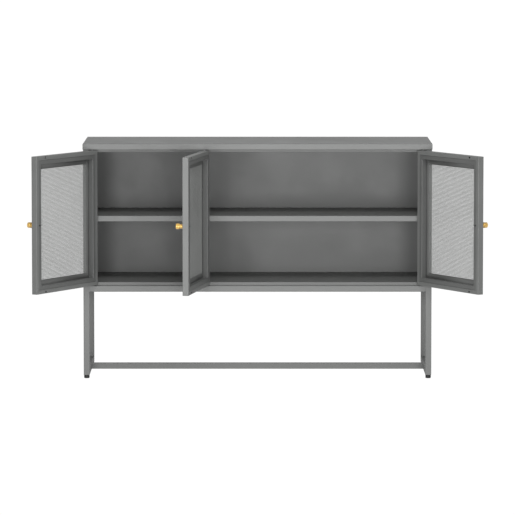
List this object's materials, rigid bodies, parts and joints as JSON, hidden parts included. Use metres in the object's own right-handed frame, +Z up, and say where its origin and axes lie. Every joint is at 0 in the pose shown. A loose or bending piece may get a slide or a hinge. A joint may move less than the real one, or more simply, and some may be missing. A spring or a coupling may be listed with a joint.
{
  "type": "sideboard buffet",
  "caption": "Steel sideboard with hinged perforated-mesh doors and brass knobs, shelves in two compartments, on an open square-tube base.",
  "frame": {"origin": "centre of the bounding box in plan, with the doors open as at rest, at floor level", "axes": "+X to the right when facing the doors, +Y towards the back panel, +Z up"},
  "size_m": [1.3548, 0.6694, 0.708],
  "materials": {
    "painted_steel": "anthracite-grey fine-textured powder coat, satin",
    "mesh_steel": "perforated sheet in the same grey powder coat",
    "brass": "lacquered satin brass",
    "zinc_steel": "bright zinc plate",
    "foot_plastic": "moulded black nylon"
  },
  "bodies": {
    "root": {"cabinet_top": "painted_steel", "top_liner": "painted_steel", "header_rail": "painted_steel", "cabinet_floor": "painted_steel", "side_panel_left": "painted_steel", "side_panel_right": "painted_steel", "side_liner_left": "painted_steel", "side_liner_right": "painted_steel", "back_panel": "painted_steel", "partition": "painted_steel", "partition_cover": "painted_steel", "shelf_left": "painted_steel", "shelf_right": "painted_steel", "bracket_left_1": "zinc_steel", "bracket_left_2": "zinc_steel", "bracket_right_1": "zinc_steel", "bracket_right_2": "zinc_steel", "side_frame_left": "painted_steel", "side_frame_right": "painted_steel", "front_rail": "painted_steel", "rear_rail": "painted_steel", "stretcher": "painted_steel", "bolt_front_left": "zinc_steel", "bolt_rear_left": "zinc_steel", "bolt_front_right": "zinc_steel", "bolt_rear_right": "zinc_steel", "foot_front_left": "foot_plastic", "foot_rear_left": "foot_plastic", "foot_front_right": "foot_plastic", "foot_rear_right": "foot_plastic"},
    "door_left": {"door_left_frame": "painted_steel", "door_left_inner_frame": "painted_steel", "door_left_mesh": "mesh_steel", "door_left_knob": "brass", "door_left_knob_screw": "zinc_steel", "door_left_pin_top": "zinc_steel", "door_left_pin_bottom": "zinc_steel", "door_left_magnet_top": "zinc_steel", "door_left_magnet_bottom": "zinc_steel"},
    "door_middle": {"door_middle_frame": "painted_steel", "door_middle_inner_frame": "painted_steel", "door_middle_mesh": "mesh_steel", "door_middle_knob": "brass", "door_middle_knob_screw": "zinc_steel", "door_middle_pin_top": "zinc_steel", "door_middle_pin_bottom": "zinc_steel", "door_middle_magnet_top": "zinc_steel", "door_middle_magnet_bottom": "zinc_steel"},
    "door_right": {"door_right_frame": "painted_steel", "door_right_inner_frame": "painted_steel", "door_right_mesh": "mesh_steel", "door_right_knob": "brass", "door_right_knob_screw": "zinc_steel", "door_right_pin_top": "zinc_steel", "door_right_pin_bottom": "zinc_steel", "door_right_magnet_top": "zinc_steel", "door_right_magnet_bottom": "zinc_steel"}
  },
  "joints": [
    {"name": "door_left_hinge", "type": "hinge", "parent": "root", "child": "door_left", "pos_m": [-0.4964, -0.01127, 0.485], "axis": [0, 0, -1], "range_deg": [-120, 10]},
    {"name": "door_middle_hinge", "type": "hinge", "parent": "root", "child": "door_middle", "pos_m": [-0.15913, -0.01127, 0.485], "axis": [0, 0, -1], "range_deg": [-100, 10]},
    {"name": "door_right_hinge", "type": "hinge", "parent": "root", "child": "door_right", "pos_m": [0.4964, -0.01127, 0.485], "axis": [0, 0, 1], "range_deg": [-120, 10]}
  ]
}
